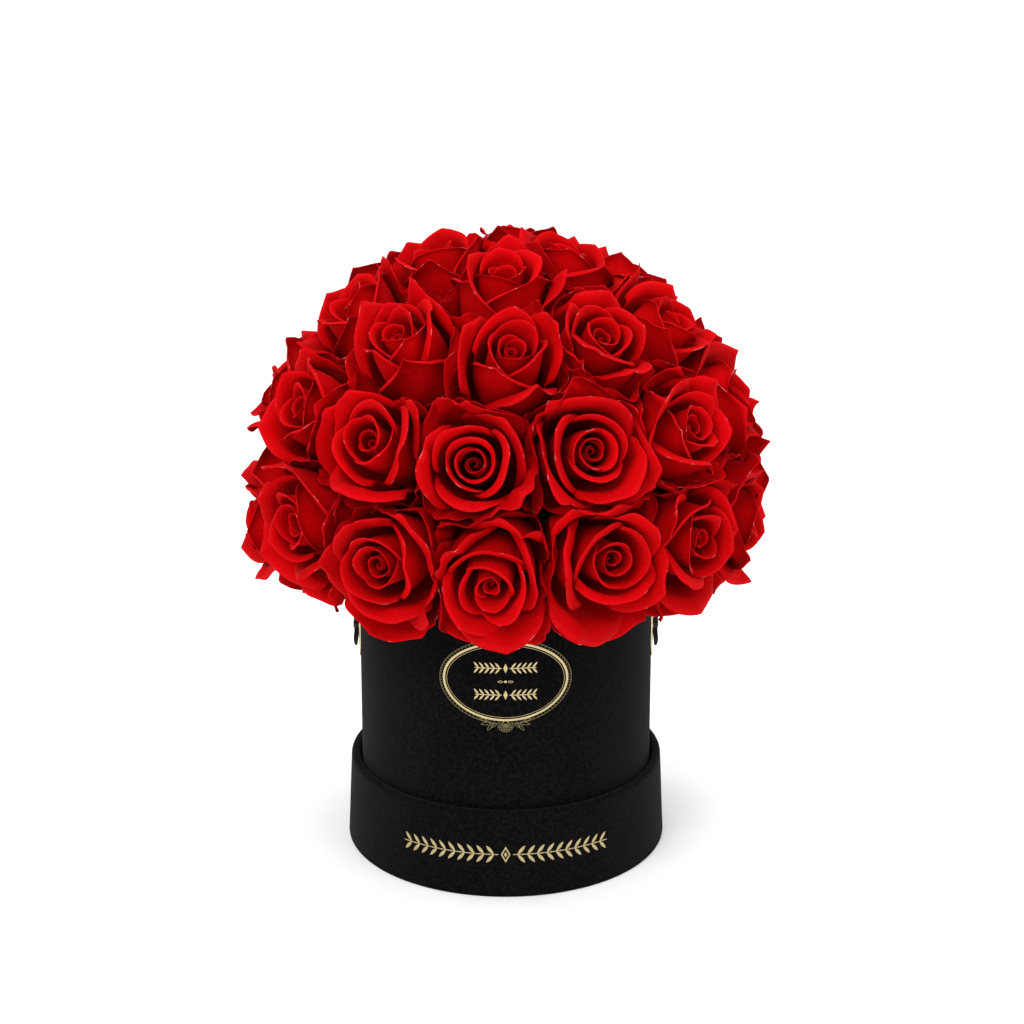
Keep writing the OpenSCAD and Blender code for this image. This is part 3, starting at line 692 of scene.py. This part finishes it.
def build_covering(node, inner_node, body, name, mat, darts, rng):
    """Suede turned over a rim and under a foot, with a lapped seam at the back and a hand-cut inner edge."""
    low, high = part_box(node)
    board_low, board_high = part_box(inner_node)
    r_out, z0, z1 = high.x / MM, low.z / MM, high.z / MM
    t = board_low.z / MM - z0
    r_board = board_high.x / MM
    inner = [(math.hypot(v.co.x, v.co.y) / MM, v.co.z / MM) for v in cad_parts[node].data.vertices]
    lean = r_out - max(r for r, z in inner if z > z1 - 2.6)
    r_in = min(r for r, z in inner if z > z1 - 5) + lean
    foot_in = min(r for r, z in inner)
    turn_z = min(z for r, z in inner if r < r_in + 0.3 - 0.63 * lean and z > z0 + 10)
    lip = (r_out - r_in) / 2 * 0.92

    def corner(cr, cz, r, a0, a1, n):
        return [(cr + r * math.cos(a), cz + r * math.sin(a)) for a in np.linspace(math.radians(a0),
                                                                                  math.radians(a1), n)]

    outer = [(foot_in, z0), (foot_in + 4, z0), (r_board - 3, z0)] + corner(r_out - 0.9, z0 + 0.9, 0.9, -90, 0,
                                                                           6)
    outer += [(r_out, z0 + 1.5), (r_out - 0.3, z0 + 1.75), (r_out - 0.05, z0 + 2.0), (r_out, z0 + 2.3)]
    outer += [(r_out, z) for z in np.linspace(z0 + 3, z1 - lip - 1, 14)]
    outer += corner(r_out - lip, z1 - lip, lip, 0, 90, 7) + corner(r_in + lip, z1 - lip, lip, 90, 180, 7)
    outer += [(r_in, z) for z in np.linspace(z1 - lip - 1, turn_z, 6)]
    back = [(r_in + 0.35, turn_z - 0.1), (r_in + t, turn_z + 0.1)]
    back += [(r_in + t, z1 - t - 0.5), (r_in + t + 0.3, z1 - t), (r_out - t - 0.3, z1 - t),
             (r_out - t, z1 - t - 0.5)]
    back += [(r_out - t, z0 + t + 0.4), (r_out - t - 0.4, z0 + t), (foot_in + 0.4, z0 + t),
             (foot_in, z0 + t * 0.6)]
    ring = np.array(outer + back)
    ring[:, 0] -= lean * np.clip((ring[:, 1] - z0 - 0.7) / (z1 - lip - z0 - 0.7), 0, 1)
    n = 256
    a = np.arange(n) * 2 * math.pi / n - math.pi / 2
    soft = wave(rng, 3)
    ripple_in = wave(rng, 4)
    r = np.repeat(ring[:, 0][:, None], n, 1)
    z = np.repeat(ring[:, 1][:, None], n, 1)
    skin = (np.arange(len(ring)) < len(outer))[:, None]
    wall = (ring[:, 0] > r_out - lean - 0.2)[:, None] & skin
    around = (a[None, :] + math.pi / 2) / (2 * math.pi)
    lap = (around - 0.5) * 2 * math.pi * r_out
    raised = np.where(lap < 0, ease((lap + 9) / 7.0) * (lap > -9), 0) * 0.35
    r = r + np.where(wall, raised, 0)
    top = (z > z1 - lip - 0.5) & skin
    z = z + np.where(top, 0.10 * soft(a * 3)[None, :] - 0.10, 0)
    edge = np.abs(z - turn_z) < 0.3
    z = z + np.where(edge, 0.5 * ripple_in(a * 7)[None, :], 0)
    notch = np.abs((around * darts) % 1 - 0.5) * 2
    hem = r < foot_in + 0.6
    r = r + np.where(hem & (z < z0 + t + 0.1), 2.2 * ease((notch - 0.7) / 0.3), 0)
    points = np.stack([r * np.cos(a), r * np.sin(a), z], -1).reshape(-1, 3) * MM
    obj = new_object(name, points, grid_quads(len(ring), n, wrap_rows=True, wrap_cols=True)[:, ::-1], mat)
    finish_piece(obj, body, "suede", node)


# ------------------------------------------------------------- side fittings

def build_plate(node, name, mat):
    """Plate with round ends bent to the drum, softened edges and a sunk border line."""
    low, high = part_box(node)
    side = 1 if high.x > 0 else -1
    half_w, half_h = high.y / MM, (high.z - low.z) / 2 / MM
    mid_z = (high.z + low.z) / 2 / MM
    co = [v.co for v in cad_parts[node].data.vertices]
    radii = [math.hypot(p.x, p.y) / MM for p in co]
    r0, r1 = min(radii), max(radii)
    flat = half_h - half_w
    turn = np.concatenate([np.linspace(0, math.pi, 25), np.linspace(math.pi, 2 * math.pi, 25)])
    lift = np.where(np.arange(50) < 25, flat, -flat)
    rings = [(0.0, 0.0), (0.0, 0.45), (0.08, 0.72), (0.25, 0.88), (0.5, 0.94), (1.9, 0.94), (2.05, 0.80),
             (2.35, 0.80), (2.5, 0.94)]
    rings += [(d, 0.94) for d in list(np.linspace(3.2, half_w - 0.06,
                                                  7)) + [half_w - 0.002]] + [(half_w - 0.002, 0.0)]
    rings += [(d, 0.0) for d in np.linspace(half_w - 3, 2.0, 3)]
    grid = []
    for d, h in rings:
        y, z = (half_w - d) * np.cos(turn), (half_w - d) * np.sin(turn) + lift
        rad = r0 + (r1 - r0) * h / 0.94
        bend = np.arcsin(np.clip(y / r1, -1, 1))
        grid.append(np.stack([side * rad * np.cos(bend), rad * np.sin(bend), z + mid_z], -1))
    points = np.array(grid).reshape(-1, 3) * MM
    quads = grid_quads(len(rings), 50, wrap_rows=True, wrap_cols=True)
    obj = new_object(name, points, quads if side > 0 else quads[:, ::-1], mat)
    finish_piece(obj, "drum", "pale_brass", node)


def soften(node, name, mat, voxel, rounds, dent, seed):
    """A soft copy of a node's solid: voxel mesh, rounded edges and small dents."""
    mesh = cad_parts[node].data.copy()
    obj = bpy.data.objects.new(name, mesh)
    bpy.context.scene.collection.objects.link(obj)
    mesh.materials.clear()
    mesh.materials.append(mat)
    remesh = obj.modifiers.new("voxels", "REMESH")
    remesh.mode, remesh.voxel_size = "VOXEL", voxel * MM
    ease_off = obj.modifiers.new("soften", "SMOOTH")
    ease_off.factor, ease_off.iterations = 0.6, rounds
    graph = bpy.context.evaluated_depsgraph_get()
    done = bpy.data.meshes.new_from_object(obj.evaluated_get(graph))
    obj.modifiers.clear()
    obj.data = done
    rng = np.random.default_rng(seed)
    co = np.array([v.co for v in done.vertices], float)
    normal = np.array([v.normal for v in done.vertices], float)
    k, p = rng.uniform(-900, 900, (6, 3)), rng.uniform(0, 6.28, 6)
    co += normal * (np.sin(co @ k.T + p).mean(-1) * dent * MM)[:, None]
    done.vertices.foreach_set("co", co.astype(np.float32).ravel())
    done.update()
    done.shade_smooth()
    return obj


def build_tab(node, body, name, mat, thread):
    """Folded suede tab with a row of stitches down each edge of its outer face."""
    obj = soften(node, name, mat, 0.16, 5, 0.03, 7)
    finish_piece(obj, body, "tab_suede", node)
    low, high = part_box(node)
    middle_x = (low.x + high.x) / 2
    parts = []
    for face in (-1, 1):
        for edge in (-1, 1):
            for k in range(5):
                z = high.z - (3.1 + k * 0.95) * MM
                drop = (high.z - z) / MM
                half = 3.95 - 0.42 * max(drop - 4.2, 0)
                x = middle_x + face * 0.88 * MM
                y = edge * half * MM
                path = [(x - face * 0.25 * MM, y, z), (x, y, z - 0.12 * MM),
                        (x, y - edge * 0.1 * MM, z - 0.5 * MM),
                        (x - face * 0.25 * MM, y - edge * 0.12 * MM, z - 0.62 * MM)]
                parts.append(tube(path, 0.13 * MM, 6))
    points, quads = join(parts)
    stitches = new_object(name + "_stitches", points, quads, thread)
    finish_piece(stitches, body, "tab_suede")


def build_collar(node, body, name, mat):
    """Waxed cord wound round the tab's neck."""
    low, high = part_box(node)
    centre = (low + high) / 2
    hx, hy, h = (high.x - low.x) / 2 / MM, (high.y - low.y) / 2 / MM, (high.z - low.z) / MM
    cord = 0.2
    turns = int(h / (cord * 1.9))
    steps = 44
    path = []
    for i in range(turns * steps + 1):
        a = i * 2 * math.pi / steps
        c, s = math.cos(a), math.sin(a)
        power = 0.42
        x = (hx - 0.6 * cord) * math.copysign(abs(c) ** power, c)
        y = (hy - cord) * math.copysign(abs(s) ** power, s)
        z = -h / 2 + cord + (h - 2 * cord) * i / (turns * steps)
        path.append((x, y, z))
    path = np.array(path) * MM + np.array(centre)
    points, quads = tube(path, cord * MM, 8)
    obj = new_object(name, points, quads, mat)
    finish_piece(obj, body, "tab_suede", node)


# --------------------------------------------------------------------- stage

def build_stage(colours):
    scene = bpy.context.scene
    low, high = CAD_BOX
    floor_mat = material("Pale floor", colours.floor, 0.6, grain_group(), (0.985, 1.01),
                         {"Scale": 40.0, "Depth": 0.00002}, specular=0.2)
    n = 40
    x, y = np.meshgrid(np.linspace(-4, 4, n), np.linspace(-4, 4, n))
    points = np.stack([x.ravel(), y.ravel(), np.full(n * n, low[2] - 0.00005)], -1)
    floor = new_object("floor", points, grid_quads(n, n), floor_mat)

    world = bpy.data.worlds.new("Studio")
    scene.world = world
    world.use_nodes = True
    shade = world.node_tree.nodes["Background"]
    shade.inputs["Color"].default_value = (1.0, 1.0, 1.0, 1)
    shade.inputs["Strength"].default_value = 1.0

    aim = Vector((0, 0, (low[2] + high[2]) * 0.55))

    def area(name, place, size, energy, colour=(1, 1, 1)):
        light = bpy.data.lights.new(name, "AREA")
        light.shape, light.size, light.energy, light.color = "DISK", size, energy, colour
        obj = bpy.data.objects.new(name, light)
        obj.location = place
        obj.rotation_euler = (aim - Vector(place)).to_track_quat("-Z", "Y").to_euler()
        scene.collection.objects.link(obj)

    area("key", (-0.55, -0.95, 1.15), 0.9, 10.0)
    area("fill", (0.85, -0.75, 0.75), 0.8, 3.0)
    area("top", (0.05, 0.15, 1.35), 0.8, 5.0)
    area("rim_left", (-1.0, 0.45, 0.55), 0.5, 2.0)
    area("rim_right", (1.0, 0.45, 0.55), 0.5, 2.0)

    camera = bpy.data.cameras.new("camera")
    camera.lens = 95.6
    camera.sensor_width = 36
    camera.clip_start = 0.01
    obj = bpy.data.objects.new("camera", camera)
    obj.location = (0.0029, -1.2, 0.581)
    obj.rotation_euler = (math.radians(90 - 19.27), 0, 0)
    scene.collection.objects.link(obj)
    scene.camera = obj
    scene.view_settings.view_transform = "Standard"


# ----------------------------------------------------------------- operators

class StepOperator(bpy.types.Operator):
    """Base of the steps; each reads the scene's sizes and colours"""
    bl_options = {"REGISTER", "UNDO"}

    def execute(self, context):
        self.build(context.scene.flower_box_sizes, context.scene.flower_box_colours)
        return {"FINISHED"}


class FLOWERBOX_OT_roses(StepOperator):
    """Build the rose heads from petals, pressed against each other"""
    bl_idname = "flowerbox.roses"
    bl_label = "Rose heads"

    def build(self, sizes, colours):
        build_roses(sizes, colours)


class FLOWERBOX_OT_calyxes(StepOperator):
    """Build the calyxes and sepals and finish the picks"""
    bl_idname = "flowerbox.calyxes"
    bl_label = "Calyxes and picks"

    def build(self, sizes, colours):
        mats = plain_materials()
        build_calyxes(mats)
        set_material("rose_picks", mats["steel_wire"])


class FLOWERBOX_OT_coverings(StepOperator):
    """Build the suede coverings of the tray and the drum"""
    bl_idname = "flowerbox.coverings"
    bl_label = "Suede coverings"

    def build(self, sizes, colours):
        mat = suede_material(colours, sizes)
        build_covering("tray_suede_wrap", "tray_board_ring", "base_tray", "tray_covering", mat, 30,
                       np.random.default_rng(11))
        build_covering("drum_suede_wrap", "drum_board_tube", "drum", "drum_covering", mat, 28,
                       np.random.default_rng(12))


class FLOWERBOX_OT_inner(StepOperator):
    """Finish the boards, linings and foam"""
    bl_idname = "flowerbox.inner"
    bl_label = "Boards, linings and foam"

    def build(self, sizes, colours):
        mats = plain_materials()
        for node in ("tray_board_ring", "tray_floor", "drum_board_tube", "drum_floor"):
            set_material(node, mats["board"])
        for node in ("tray_liner", "drum_lining"):
            set_material(node, mats["lining_paper"])
        set_material("foam_block", mats["foam"])


class FLOWERBOX_OT_foil(StepOperator):
    """Finish the label and the tray ornament"""
    bl_idname = "flowerbox.foil"
    bl_label = "Gold foil"

    def build(self, sizes, colours):
        set_material("label_foil", label_material(colours))
        set_material("tray_foil_motif", foil_material(colours))


class FLOWERBOX_OT_fittings(StepOperator):
    """Build the side plates and pull tabs and finish the staples"""
    bl_idname = "flowerbox.fittings"
    bl_label = "Side fittings"

    def build(self, sizes, colours):
        brass, suede = brass_material(colours), tab_material(colours, sizes)
        thread = material("Waxed thread", (0.03, 0.022, 0.02), 0.55, grain_group(), (0.7, 1.5),
                          {"Scale": 2500.0, "Depth": 0.00004}, specular=0.35)
        for side in ("left", "right"):
            build_plate("side_plate_" + side, "plate_" + side, brass)
            set_material("side_staple_" + side, brass)
            build_tab("pull_tab_" + side, side + "_pull", "tab_" + side, suede, thread)
            build_collar("pull_collar_" + side, side + "_pull", "collar_" + side, thread)


class FLOWERBOX_OT_stage(StepOperator):
    """Build the floor, lights, world and camera"""
    bl_idname = "flowerbox.stage"
    bl_label = "Stage"

    def build(self, sizes, colours):
        build_stage(colours)


STEPS = (FLOWERBOX_OT_stage, FLOWERBOX_OT_roses, FLOWERBOX_OT_calyxes, FLOWERBOX_OT_coverings,
         FLOWERBOX_OT_inner, FLOWERBOX_OT_foil, FLOWERBOX_OT_fittings)


class FLOWERBOX_PT_panel(bpy.types.Panel):
    """Sizes, colours and steps of the flower box"""
    bl_idname = "FLOWERBOX_PT_panel"
    bl_label = "Flower Box"
    bl_space_type = "VIEW_3D"
    bl_region_type = "UI"
    bl_category = "Flower Box"

    def draw(self, context):
        for group in (context.scene.flower_box_sizes, context.scene.flower_box_colours):
            box = self.layout.box()
            for key in group.__annotations__:
                box.prop(group, key)
        for step in STEPS:
            self.layout.operator(step.bl_idname)


CLASSES = (FlowerBoxSizes, FlowerBoxColours) + STEPS + (FLOWERBOX_PT_panel,)


def register():
    for cls in CLASSES:
        bpy.utils.register_class(cls)
    bpy.types.Scene.flower_box_sizes = PointerProperty(type=FlowerBoxSizes)
    bpy.types.Scene.flower_box_colours = PointerProperty(type=FlowerBoxColours)


def unregister():
    del bpy.types.Scene.flower_box_colours
    del bpy.types.Scene.flower_box_sizes
    for cls in reversed(CLASSES):
        bpy.utils.unregister_class(cls)


def main():
    register()
    for step in (bpy.ops.flowerbox.stage, bpy.ops.flowerbox.roses, bpy.ops.flowerbox.calyxes,
                 bpy.ops.flowerbox.coverings,
                 bpy.ops.flowerbox.inner, bpy.ops.flowerbox.foil, bpy.ops.flowerbox.fittings):
        step()


if __name__ == "__main__":
    main()
